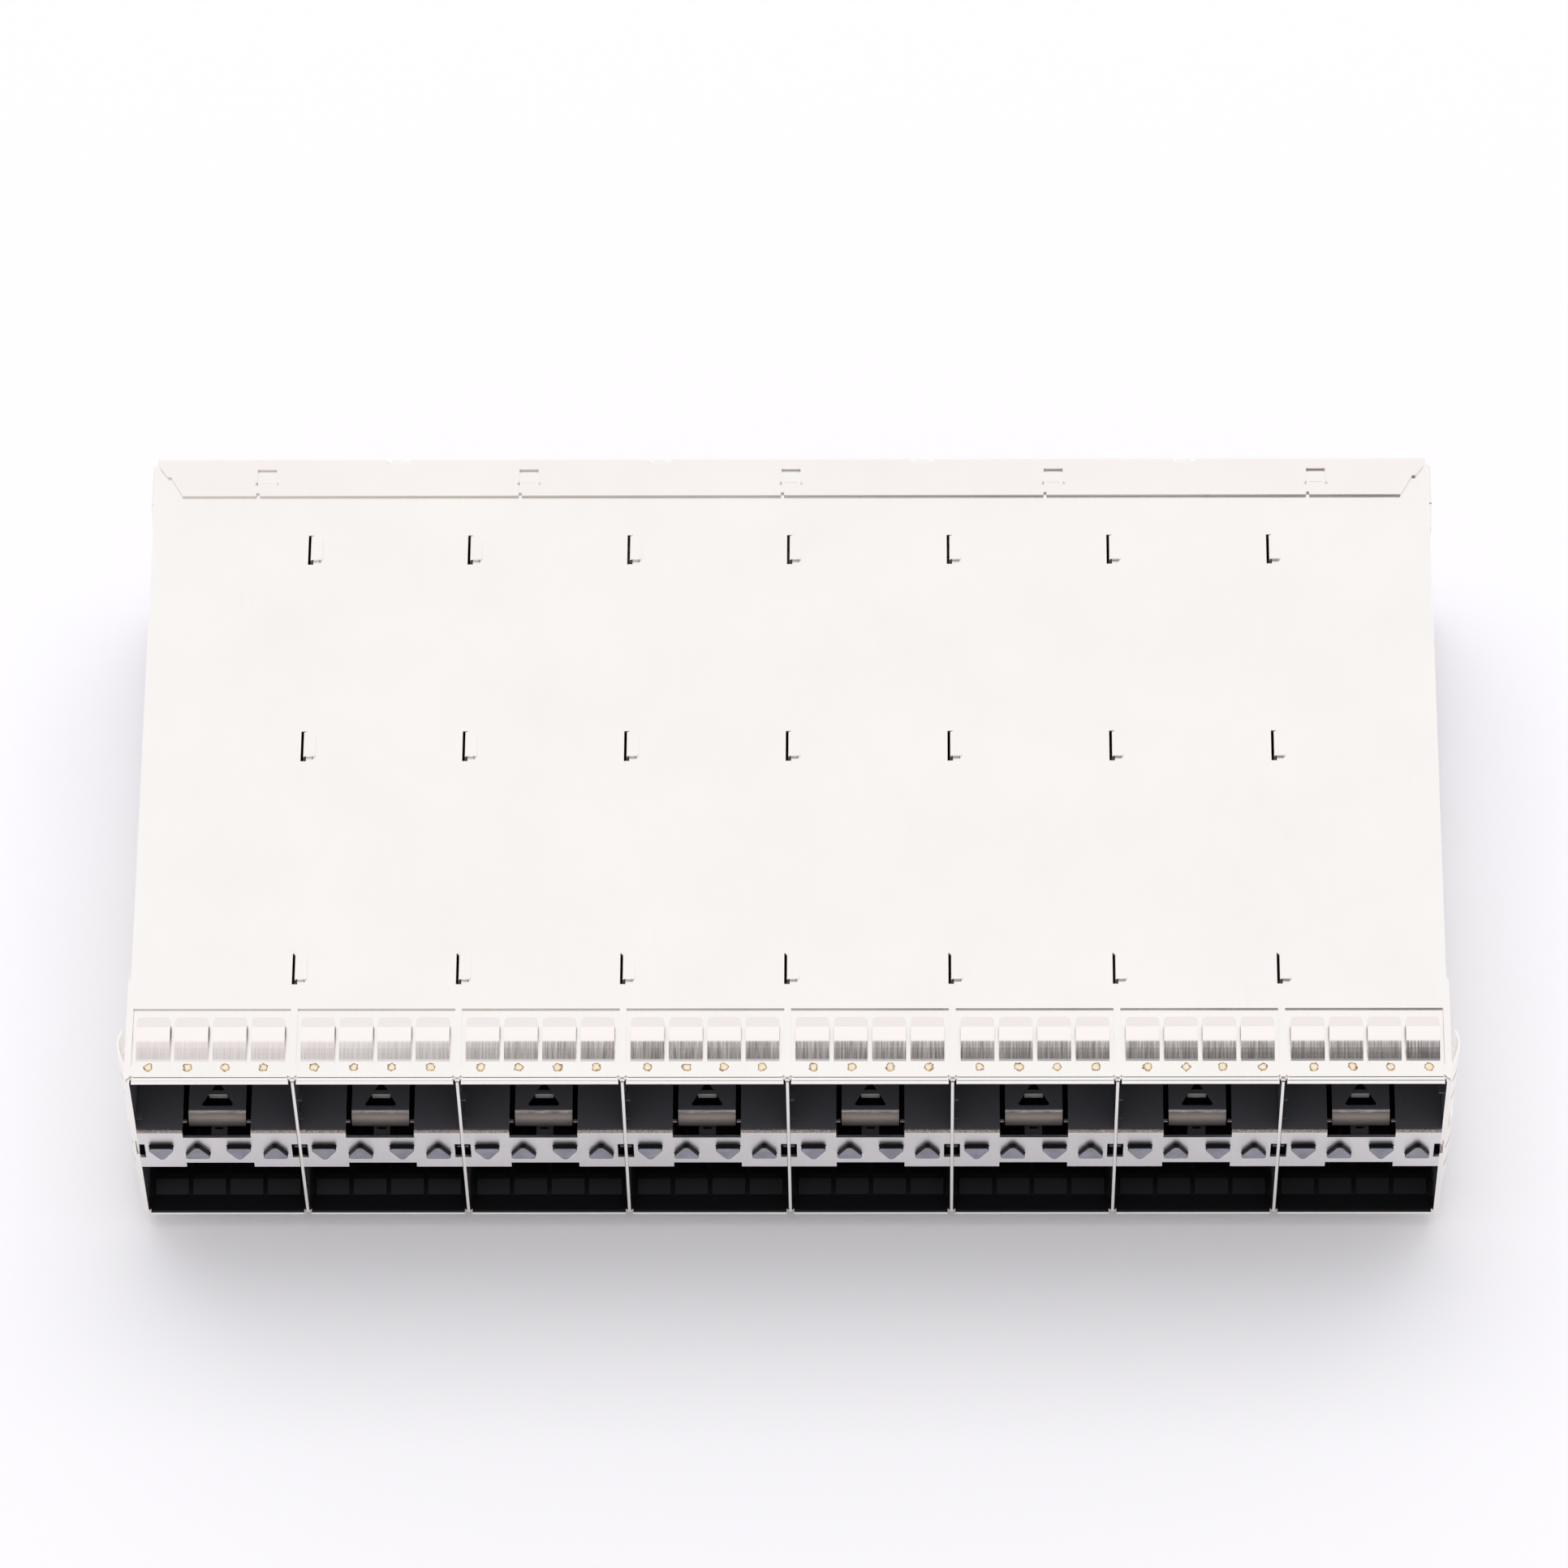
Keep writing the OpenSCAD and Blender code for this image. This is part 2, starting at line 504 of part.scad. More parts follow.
// ---- light pipes: four clear rods joined by one web, per pair of ports ----
module light_pipes(k) color(smoke) place() translate([port_x(k), 0, 0]) {
    hi = window_z + 0.05;
    lo = window_z - 0.05 - pipe_s;
    leg_x = port_w / 2 - 0.2 - pipe_s / 2;
    y_in = body_y - leg_gap - pipe_s;
    y_out = y_in - leg_step;
    for (p = pipe_place()) translate([p[0], -face_out - pipe_out, pipe_z(p[1])])
        back_along(6 + face_out + pipe_out) pipe_outline(p[1], pipe_gap);
    difference() {
        box(-window_x2 - 0.7, window_x2 + 0.7, 1.6, 2.4, window_z - 0.9, window_z + 0.75);
        box(-0.35, 0.35, 1, 3, window_z + 0.2, window_z + 0.55);
    }
    for (s = [-1, 1]) {
        rod(s, window_x1, leg_x, y_in, hi);
        rod(s, window_x2, leg_x, y_out, lo);
    }
}
// one rod: back along the separator, sideways past the nose, down to the board
module rod(s, x, leg_x, y, z) mirror([s < 0 ? 1 : 0, 0, 0]) {
    h = pipe_s / 2;
    box(x - h, x + h, 5, y + pipe_s, z, z + pipe_s);
    box(x - h, leg_x + h, y, y + pipe_s, z, z + pipe_s);
    box(leg_x - h, leg_x + h, y, y + pipe_s, 0.3, z + pipe_s);
}

// ---- stacked card-edge connector ----
function slot_z() = [low_z + port_h / 2, sep_top + port_h / 2];
// depth of the vertical legs of the four contact rows, lowest slot first
function leg_y() = [for (i = [0:3]) body_y + 2.6 + i * 2.5];
module connector_housing(k) color(black) place() translate([port_x(k), 0, 0]) {
    y1 = body_y + body_d;
    top = shell_h - sheet_t - 0.4;
    row_w = 10 * contact_pitch + 0.2;
    difference() {
        union() {
            box(-body_w / 2, body_w / 2, body_y, y1, 0, top);
            for (z = slot_z()) across_nose(z);
            // mid rib that carries both noses
            box(-nose_w / 2, nose_w / 2, body_y - 0.6, body_y + 0.2, slot_z()[0], slot_z()[1]);
        }
        box(-row_w / 2 - 0.3, row_w / 2 + 0.3, body_y + 1.2, y1 - 1.2, 0.9, top - 1.2);
        for (z = slot_z()) {
            box(-slot_w / 2, slot_w / 2, nose_y - 1, nose_y + 1, z - slot_h / 2, z + slot_h / 2);
            box(-row_w / 2 - 0.3, row_w / 2 + 0.3, nose_y + 0.6, body_y + 2, z - 1.35, z + 1.35);
        }
        for (y = leg_y()) box(-row_w / 2, row_w / 2, y - contact_t / 2 - 0.1,
            y + contact_t / 2 + 0.1, -1, 1);
        // vent slots of the top
        for (x = [-3.2, 0, 3.2]) box(x - 1, x + 1, body_y + 3, y1 - 3, top - 1.5, top + 1);
    }
    // standing pegs for the board
    for (s = [-1, 1]) translate([s * (body_w / 2 - 1.1), body_y + 5, -contact_tail + 0.2])
        cylinder(d = 1.4, h = contact_tail, $fn = 32);
}
module across_nose(z) {
    h = nose_h / 2;
    across(nose_w) polygon([[body_y + 0.2, z - h], [nose_y + 0.5, z - h], [nose_y, z - h + 0.5],
        [nose_y, z + h - 0.5], [nose_y + 0.5, z + h], [body_y + 0.2, z + h]]);
}
// one contact: sprung tip in the card slot, beam, leg and tail
module contact(zc, side, y)
    across(contact_w) polygon(strip([
        [nose_y + contact_in, zc + side * (contact_z - contact_bow * 0.36)],
        [nose_y + contact_in + contact_tip * 0.35, zc + side * (contact_z - contact_bow)],
        [nose_y + contact_in + contact_tip, zc + side * contact_z],
        [y, zc + side * contact_z], [y, -contact_tail]], contact_t));
module contacts(k) color(brass) place() translate([port_x(k), 0, 0])
    for (i = [-4.5:1:4.5], r = [0:3])
        translate([i * contact_pitch, 0, 0])
            contact(slot_z()[r < 2 ? 0 : 1], r % 2 == 0 ? -1 : 1, leg_y()[r]);

// ---- spring clip folded round a front edge, seen with the sheet at z = 0 ----
module clip() {
    r = sheet_t / 2 + sheet_fit + clip_t / 2;
    ro = r + clip_t / 2;
    intersection() {
        across(clip_w) polygon(strip(concat([[collar_set - 0.06, r]], arc([0, 0], r, 90, 270, 10),
            [[0.6, -r]]), clip_t));
        back_clip_ends(ro);
    }
    box(-clip_w / 2, clip_w / 2, 0.3, 1.3, -ro, -ro + clip_t);
    for (i = [0:fingers - 1]) translate([(i - (fingers - 1) / 2) * (finger_w + finger_slot), 0, 0])
        across(finger_w) polygon(strip([[1.2, -r], [1.5, -r], [clip_d / 2 - 0.2, -r - clip_bow],
            [clip_d / 2 + 0.3, -r - clip_bow], [clip_d - 1, -r - 0.03], [clip_d, -r - 0.03]],
            clip_t));
}
module back_clip_ends(ro) translate([0, -1, 0]) back_along(2) polygon(fillet(
    [[-clip_w / 2, -ro], [clip_w / 2, -ro], [clip_w / 2, ro], [-clip_w / 2, ro]],
    [0.22, 0.22, 0.22, 0.22]));
module upper_spring(k) color(steel) place()
    translate([port_x(k), 0, shell_h - sheet_t / 2]) clip();
module lower_spring(k) color(steel) place()
    translate([port_x(k), 0, sheet_t / 2]) mirror([0, 0, 1]) clip();

// ---- rear cover ----
module rear_cover() color(steel) place() {
    w = shell_w / 2 + sheet_fit + sheet_t;
    zt = shell_h + sheet_fit + sheet_t / 2;
    r = 0.3;
    yb = cage_d - sheet_t / 2;
    difference() {
        across(shell_w - 0.5) polygon(strip(concat([[cage_d - flap_d, zt]],
            arc([yb - r, zt - r], r, 90, 0), [[yb, 0.3]]), sheet_t));
        // slanted ends of the top flap, with a small step
        for (s = [-1, 1]) mirror([s < 0 ? 1 : 0, 0, 0]) translate([0, 0, shell_h])
            linear_extrude(1) polygon([[shell_w / 2 - 2.6, cage_d - flap_d - 1],
                [shell_w / 2 - 2.6, cage_d - flap_d], [shell_w / 2 - 1.5, cage_d - flap_d / 2],
                [shell_w / 2 - 1.2, cage_d - flap_d / 2], [shell_w / 2 - 0.2, cage_d - 0.6],
                [shell_w / 2 + 1, cage_d - 0.6], [shell_w / 2 + 1, cage_d - flap_d - 1]]);
        for (i = [-2:2]) {
            translate([i * snap_pitch, cage_d - flap_d / 2, shell_h]) snap_window();
            box(i * snap_pitch - 0.75 - 0.14, i * snap_pitch - 0.75 + 0.14, cage_d - flap_d - 1,
                cage_d - flap_d + 0.3, shell_h, shell_h + 1);
        }
        // reliefs in the bend, where the shell's rear lugs come through
        for (i = [-1.5:1:1.5]) box(i * snap_pitch - 1, i * snap_pitch + 1, cage_d - 0.75,
            cage_d + 1, shell_h - 0.5, shell_h + 1);
    }
    // side flaps with their snap windows
    for (s = [-1, 1]) translate([s * (shell_w / 2 + sheet_fit + sheet_t / 2), 0, 0]) difference() {
        across(sheet_t) polygon(fillet([[cage_d, 1], [cage_d, shell_h - 1.2],
            [cage_d - side_flap_d + 1.5, shell_h - 1.2], [cage_d - side_flap_d, shell_h - 3],
            [cage_d - side_flap_d, 3], [cage_d - side_flap_d + 1.5, 1]],
            [0, 0, 0.4, 0.4, 0.4, 0.4]));
        for (z = side_snaps()) box(-1, 1, cage_d - side_flap_d / 2 - snap_w / 2,
            cage_d - side_flap_d / 2 + snap_w / 2, z - snap_w / 2, z + snap_w / 2);
    }
    for (s = [-1, 1]) box(s > 0 ? shell_w / 2 - 0.4 : -w, s > 0 ? w : 0.4 - shell_w / 2,
        cage_d - sheet_t, cage_d, 1, shell_h - 1.2);
    for (k = [1:ports]) tail_x(port_x(k), yb, 0.6);
}
// square window with a small round ear in each front corner
module snap_window() translate([0, 0, -1]) linear_extrude(3) {
    translate([-snap_w / 2, -0.775]) square([snap_w, 1.55]);
    for (s = [-1, 1]) translate([s * snap_w / 2, -0.775]) circle(r = 0.2, $fn = 24);
}

cage_shell();
front_collar();
bottom_plate();
rear_cover();
divider(1);  // divider_1
divider(2);  // divider_2
divider(3);  // divider_3
divider(4);  // divider_4
divider(5);  // divider_5
divider(6);  // divider_6
divider(7);  // divider_7
separator(1);  // separator_1
separator(2);  // separator_2
separator(3);  // separator_3
separator(4);  // separator_4
separator(5);  // separator_5
separator(6);  // separator_6
separator(7);  // separator_7
separator(8);  // separator_8
light_pipes(1);  // light_pipes_1
light_pipes(2);  // light_pipes_2
light_pipes(3);  // light_pipes_3
light_pipes(4);  // light_pipes_4
light_pipes(5);  // light_pipes_5
light_pipes(6);  // light_pipes_6
light_pipes(7);  // light_pipes_7
light_pipes(8);  // light_pipes_8
connector_housing(1);  // connector_housing_1
connector_housing(2);  // connector_housing_2
connector_housing(3);  // connector_housing_3
connector_housing(4);  // connector_housing_4
connector_housing(5);  // connector_housing_5
connector_housing(6);  // connector_housing_6
connector_housing(7);  // connector_housing_7
connector_housing(8);  // connector_housing_8
contacts(1);  // contacts_1
contacts(2);  // contacts_2
contacts(3);  // contacts_3
contacts(4);  // contacts_4
contacts(5);  // contacts_5
contacts(6);  // contacts_6
contacts(7);  // contacts_7
contacts(8);  // contacts_8
upper_spring(1);  // upper_spring_1
upper_spring(2);  // upper_spring_2
upper_spring(3);  // upper_spring_3
upper_spring(4);  // upper_spring_4
upper_spring(5);  // upper_spring_5
upper_spring(6);  // upper_spring_6
upper_spring(7);  // upper_spring_7
upper_spring(8);  // upper_spring_8
lower_spring(1);  // lower_spring_1
lower_spring(2);  // lower_spring_2
lower_spring(3);  // lower_spring_3
lower_spring(4);  // lower_spring_4
lower_spring(5);  // lower_spring_5
lower_spring(6);  // lower_spring_6
lower_spring(7);  // lower_spring_7
lower_spring(8);  // lower_spring_8
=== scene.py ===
import bpy
import json
import math
from mathutils import Matrix, Vector


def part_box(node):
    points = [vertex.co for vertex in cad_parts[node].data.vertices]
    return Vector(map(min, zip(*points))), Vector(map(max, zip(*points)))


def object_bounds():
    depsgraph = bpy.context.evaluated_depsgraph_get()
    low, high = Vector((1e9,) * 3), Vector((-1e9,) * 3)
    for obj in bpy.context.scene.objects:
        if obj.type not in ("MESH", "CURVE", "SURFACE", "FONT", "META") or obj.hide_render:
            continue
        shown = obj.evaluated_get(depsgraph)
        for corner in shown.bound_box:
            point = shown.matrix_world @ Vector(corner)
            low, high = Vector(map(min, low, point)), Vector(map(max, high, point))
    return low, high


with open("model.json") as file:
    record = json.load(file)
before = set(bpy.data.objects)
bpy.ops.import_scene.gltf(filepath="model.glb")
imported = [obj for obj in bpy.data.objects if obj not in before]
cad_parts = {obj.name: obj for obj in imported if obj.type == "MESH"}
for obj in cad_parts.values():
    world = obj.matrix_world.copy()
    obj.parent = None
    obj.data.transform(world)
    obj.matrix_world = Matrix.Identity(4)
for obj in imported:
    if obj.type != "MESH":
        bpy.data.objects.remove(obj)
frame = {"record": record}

CAD_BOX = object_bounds()
MM = 0.001


# ---------------------------------------------------------------- small helpers
def lin(hex_code):
    """sRGB hex to the linear colour that the shaders take."""
    digits = hex_code.lstrip("#")
    out = []
    for i in (0, 2, 4):
        c = int(digits[i:i + 2], 16) / 255.0
        out.append(c / 12.92 if c <= 0.04045 else ((c + 0.055) / 1.055) ** 2.4)
    return (*out, 1.0)


def node(tree, kind, settings=None, links=None):
    """Adds a node and gives its outputs. Settings are the node's own values or those of
    its inputs, by name or number; links maps inputs to outputs of other nodes. "stops"
    are the places and hex colours of a colour ramp, and "span" is where a soft change
    is still 0 and where it has become 1."""
    n = tree.nodes.new(kind)
    settings = dict(settings or {})
    stops = settings.pop("stops", ())
    if "span" in settings:
        start, end = settings.pop("span")
        settings.update({"interpolation_type": "SMOOTHSTEP", "From Min": min(start, end),
                         "From Max": max(start, end), "To Min": float(start > end),
                         "To Max": float(start < end)})
    for key, value in settings.items():
        if isinstance(key, str) and hasattr(n, key):
            setattr(n, key, value)
        else:
            n.inputs[key].default_value = value
    for _ in range(len(stops) - 2):
        n.color_ramp.elements.new(0.5)
    for i, (place, hex_code) in enumerate(stops):
        n.color_ramp.elements[i].position = place
        n.color_ramp.elements[i].color = lin(hex_code)
    for key, socket in (links or {}).items():
        tree.links.new(socket, n.inputs[key])
    return n.outputs


def blank_material(name):
    m = bpy.data.materials.new(name)
    m.use_nodes = True
    m.node_tree.nodes.clear()
    return m, m.node_tree


# ---------------------------------------------------------------- sizes
SHELL_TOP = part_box("upper_spring_1")[1][2] - 0.18 * MM   # outer face of the cage's top
COLLAR_TOP = SHELL_TOP + 0.23 * MM                       # outer face of the collar
SHELL_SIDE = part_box("bottom_plate")[1][0]                # outer face of the cage's sides
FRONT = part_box("cage_shell")[0][1]                       # the shell's front edge
SEP_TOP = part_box("separator_1")[1][2]                    # top of the separators
HOLE_LIP = FRONT + 3.65 * MM                             # front of the lip behind a latch hole
PITCH = 14.25 * MM                                       # from port to port
FINGER_PITCH = 3.3 * MM                                  # from finger to finger
WELD_Y = FRONT + 1.15 * MM                               # middle of the row of weld spots


# ---------------------------------------------------------------- zones of a sheet
def zone(*spans):
    """Each span is an axis, a face square to it, and how many millimetres past that
    face the zone is still 0 and has become 1."""
    return [(axis, face + start * MM, face + end * MM) for axis, face, start, end in spans]


def zone_mask(t, xyz, *zones):
    """1 where all the spans of at least one zone hold."""
    whole = None
    for spans in zones:
        part = None
        for axis, start, end in spans:
            edge = node(t, "ShaderNodeMapRange", {"span": (start, end)}, {"Value": xyz[axis]})[0]
            part = edge if part is None else node(
                t, "ShaderNodeMath", {"operation": "MULTIPLY"}, {0: part, 1: edge})[0]
        whole = part if whole is None else node(
            t, "ShaderNodeMath", {"operation": "MAXIMUM"}, {0: whole, 1: part})[0]
    return whole


# zones of each sheet that face into the ports, where the sheet is painted dark: painted shade
SHELL_PORT_SHADE = [zone(("X", SHELL_SIDE, -0.18, -0.22), ("X", -SHELL_SIDE, 0.18, 0.22),
                 ("Z", SHELL_TOP, -0.18, -0.22), ("Y", FRONT, 0.02, 0.15))]
PLATE_PORT_SHADE = [zone(("Z", 0.0, 0.18, 0.22), ("Y", FRONT, 0.0, 0.1))]
DIVIDER_PORT_SHADE = [zone(("Z", SHELL_TOP, -0.1, -0.3), ("Y", FRONT, -0.06, 0.0))]
SEPARATOR_PORT_SHADE = [zone(("Y", FRONT, -0.04, 0.04))]
UPPER_CLIP_PORT_SHADE = [zone(("Z", SHELL_TOP, -0.2, -0.25), ("Y", FRONT, 0.0, 0.1))]
LOWER_CLIP_PORT_SHADE = [zone(("Z", 0.0, 0.26, 0.32)), zone(("Y", FRONT, 0.3, 0.4))]
# zones of the fingers, of their front slopes and of their tails; the slopes and tails are painted
# darker as painted shade
FINGERS = zone(("Z", COLLAR_TOP, 0.03, 0.12))
FRONT_SLOPE = FINGERS + zone(("Y", FRONT, 3.45, 3.25))
REAR_SLOPE = zone(("Y", FRONT, 4.62, 4.72))
SHARP_BEND = zone(("Z", SEP_TOP, -0.24, -0.18), ("Y", FRONT, 0.02, -0.03))
UNDER_SEP_TOP = zone(("Z", SEP_TOP, -0.01, -0.04), ("Z", SEP_TOP, -1.5, -1.45),
                     ("Y", FRONT, 0.35, 0.45))
LATCH_ROLL = UNDER_SEP_TOP + zone(("Y", HOLE_LIP, -1.6, -1.7))
LATCH_LIP = UNDER_SEP_TOP + zone(("Z", SEP_TOP, -0.35, -0.4), ("Y", HOLE_LIP, -0.1, -0.05),
                                 ("Y", HOLE_LIP, 0.35, 0.30))


# ---------------------------------------------------------------- finishes on a sheet
def brushed_and_shaded_fingers(t, pos, xyz, tone, bump):
    """Fingers brushed after plating: fine scratches along their front slopes. Too fine to show, so
    drawn 0.14 mm apart. The front slopes are painted a streaked grey, painted shade, paler at the left
    end of the row, and the tails past the crests are painted a little darker, painted shade too."""
    fingers = zone_mask(t, xyz, FINGERS)
    slope = zone_mask(t, xyz, FRONT_SLOPE)
    rear = zone_mask(t, xyz, REAR_SLOPE)
    # how much painted shade the front slopes get along the row: less at the left end
    slope_shade_along_row = zone_mask(t, xyz, zone(("X", 0.0, -45.0, -12.0)))
    drawn = node(t, "ShaderNodeMapping", {"Scale": (1.0, 0.035, 0.035)}, {"Vector": pos})[0]
    scratches = node(t, "ShaderNodeTexNoise", {"Scale": 1.0 / (0.14 * MM), "Detail": 4.0,
                     "Roughness": 0.7}, {"Vector": drawn})["Fac"]
    depth = node(t, "ShaderNodeMath", {"operation": "MULTIPLY"}, {0: slope, 1: scratches})[0]
    bump = node(t, "ShaderNodeBump", {"Strength": 0.3, "Distance": 0.02 * MM},
                {"Height": depth, "Normal": bump})[0]
    # painted shade: front slopes streaked grey, paler at the left end of the row; tails a little darker
    # than the crests
    light = node(t, "ShaderNodeValToRGB", {"stops": [(0.3, "#E9E0DD"), (0.62, "#F3EBE8")]},
                 {"Fac": scratches})[0]
    dark_shaded_streaks = node(t, "ShaderNodeValToRGB", {"stops": [(0.36, "#8E8784"), (0.66, "#DDD6D3")]},
                 {"Fac": scratches})[0]
    worn_and_shaded = node(t, "ShaderNodeMix", {"data_type": "RGBA"}, {0: slope_shade_along_row, 6: light, 7: dark_shaded_streaks})[2]
    crest_and_shaded_tail = node(t, "ShaderNodeMix", {"data_type": "RGBA", 6: lin("#FFF8F5"), 7: lin("#F4ECE9")},
                  {0: rear})[2]
    finger = node(t, "ShaderNodeMix", {"data_type": "RGBA"}, {0: slope, 6: crest_and_shaded_tail, 7: worn_and_shaded})[2]
    return node(t, "ShaderNodeMix", {"data_type": "RGBA"}, {0: fingers, 6: tone, 7: finger})[2], bump


def weld_spots(t, pos, xyz, tone, bump):
    """One spot of about 0.8 mm under each finger, each a little out of line: straw
    coloured, with a burnt and ragged rim."""
    stray = node(t, "ShaderNodeTexNoise", {"Scale": 1.0 / (5.0 * MM), "Detail": 0.0},
                 {"Vector": pos})["Fac"]
    aside = node(t, "ShaderNodeMapRange", {"To Min": -0.33 * MM, "To Max": 0.17 * MM},
                 {"Value": stray})[0]
    along = node(t, "ShaderNodeMath", {"operation": "MULTIPLY_ADD", 1: 0.992},
                 {0: xyz["X"], 2: aside})[0]
    in_port = node(t, "ShaderNodeMath", {"operation": "WRAP", 1: PITCH, 2: 0.0}, {0: along})[0]
    from_first = node(t, "ShaderNodeMath", {"operation": "SUBTRACT", 1: PITCH / 2 - 1.5 * FINGER_PITCH},
                      {0: in_port})[0]
    x = node(t, "ShaderNodeMath", {"operation": "WRAP", 1: FINGER_PITCH / 2, 2: -FINGER_PITCH / 2},
             {0: from_first})[0]
    y = node(t, "ShaderNodeMath", {"operation": "SUBTRACT", 1: WELD_Y}, {0: xyz["Y"]})[0]
    flat = node(t, "ShaderNodeCombineXYZ", links={"X": x, "Y": y})[0]
    metres = node(t, "ShaderNodeVectorMath", {"operation": "LENGTH"}, {0: flat})["Value"]
    far = node(t, "ShaderNodeMath", {"operation": "MULTIPLY", 1: 1.0 / MM}, {0: metres})[0]
    ragged = node(t, "ShaderNodeTexNoise", {"Scale": 1.0 / (0.32 * MM), "Detail": 4.0},
                  {"Vector": pos})["Fac"]
    spot = node(t, "ShaderNodeMath", {"operation": "MULTIPLY_ADD", 1: 0.5}, {0: ragged, 2: far})[0]
    burnt = node(t, "ShaderNodeValToRGB",
                 {"stops": [(0.2, "#FFF4DE"), (0.42, "#FBE9C8"), (0.53, "#EFD9B8"),
                            (0.59, "#80614E"), (0.64, "#BCA594")]}, {"Fac": spot})[0]
    within = node(t, "ShaderNodeMapRange", {"span": (0.68, 0.62)}, {"Value": spot})[0]
    return node(t, "ShaderNodeMix", {"data_type": "RGBA"}, {0: within, 6: tone, 7: burnt})[2], bump


def orange_peel_and_shade(t, pos, xyz, tone, bump):
    """Grained skin where the sheet was bent sharply, painted a dark mottled brown-grey: real grain with
    painted shade from the roof of the port above the bend.
    """
    bend = zone_mask(t, xyz, SHARP_BEND)
    peel = node(t, "ShaderNodeTexNoise", {"Scale": 1.0 / (0.16 * MM), "Detail": 5.0,
                "Roughness": 0.75}, {"Vector": pos})["Fac"]
    # painted shade: the grained bend painted dark brown-grey
    shaded_skin = node(t, "ShaderNodeValToRGB", {"stops": [(0.38, "#6E6360"), (0.66, "#C4B8B2")]},
                {"Fac": peel})[0]
    height = node(t, "ShaderNodeMath", {"operation": "MULTIPLY"}, {0: bend, 1: peel})[0]
    bump = node(t, "ShaderNodeBump", {"Strength": 0.9, "Distance": 0.03 * MM},
                {"Height": height, "Normal": bump})[0]
    return node(t, "ShaderNodeMix", {"data_type": "RGBA"}, {0: bend, 6: tone, 7: shaded_skin})[2], bump


def latch_grain_and_painted_light(t, pos, xyz, tone, bump):
    """The rolled latch tongues have a grained slope and are painted with light and shade: a painted
    highlight on the bend, painted grey and dark bands down the slope and a painted highlight on the cut
    edge. The lip behind each latch hole is painted white, a painted highlight."""
    drawn = node(t, "ShaderNodeMapping", {"Scale": (0.2, 1.0, 1.0)}, {"Vector": pos})[0]
    peel = node(t, "ShaderNodeTexNoise", {"Scale": 1.0 / (0.2 * MM), "Detail": 4.0},
                {"Vector": drawn})["Fac"]
    down = node(t, "ShaderNodeMapRange", {"From Min": SEP_TOP, "From Max": SEP_TOP - 1.4 * MM},
                {"Value": xyz["Z"]})[0]
    wavy = node(t, "ShaderNodeMath", {"operation": "MULTIPLY_ADD", 1: 0.12}, {0: peel, 2: down})[0]
    # painted light and shade down the roll: highlight, grey and dark bands, highlight on the cut edge
    slope = node(t, "ShaderNodeValToRGB",
                 {"stops": [(0.07, "#FBF4F0"), (0.14, "#8D837F"), (0.36, "#A0958F"),
                            (0.62, "#6E6664"), (0.86, "#3E3A39"), (0.91, "#E8DFDB")]},
                 {"Fac": wavy})[0]
    roll, lip = zone_mask(t, xyz, LATCH_ROLL), zone_mask(t, xyz, LATCH_LIP)
    tone = node(t, "ShaderNodeMix", {"data_type": "RGBA"}, {0: roll, 6: tone, 7: slope})[2]
    # painted highlight: the lip behind each latch hole painted white
    tone = node(t, "ShaderNodeMix", {"data_type": "RGBA", 7: lin("#FFFFFF")}, {0: lip, 6: tone})[2]
    return tone, bump


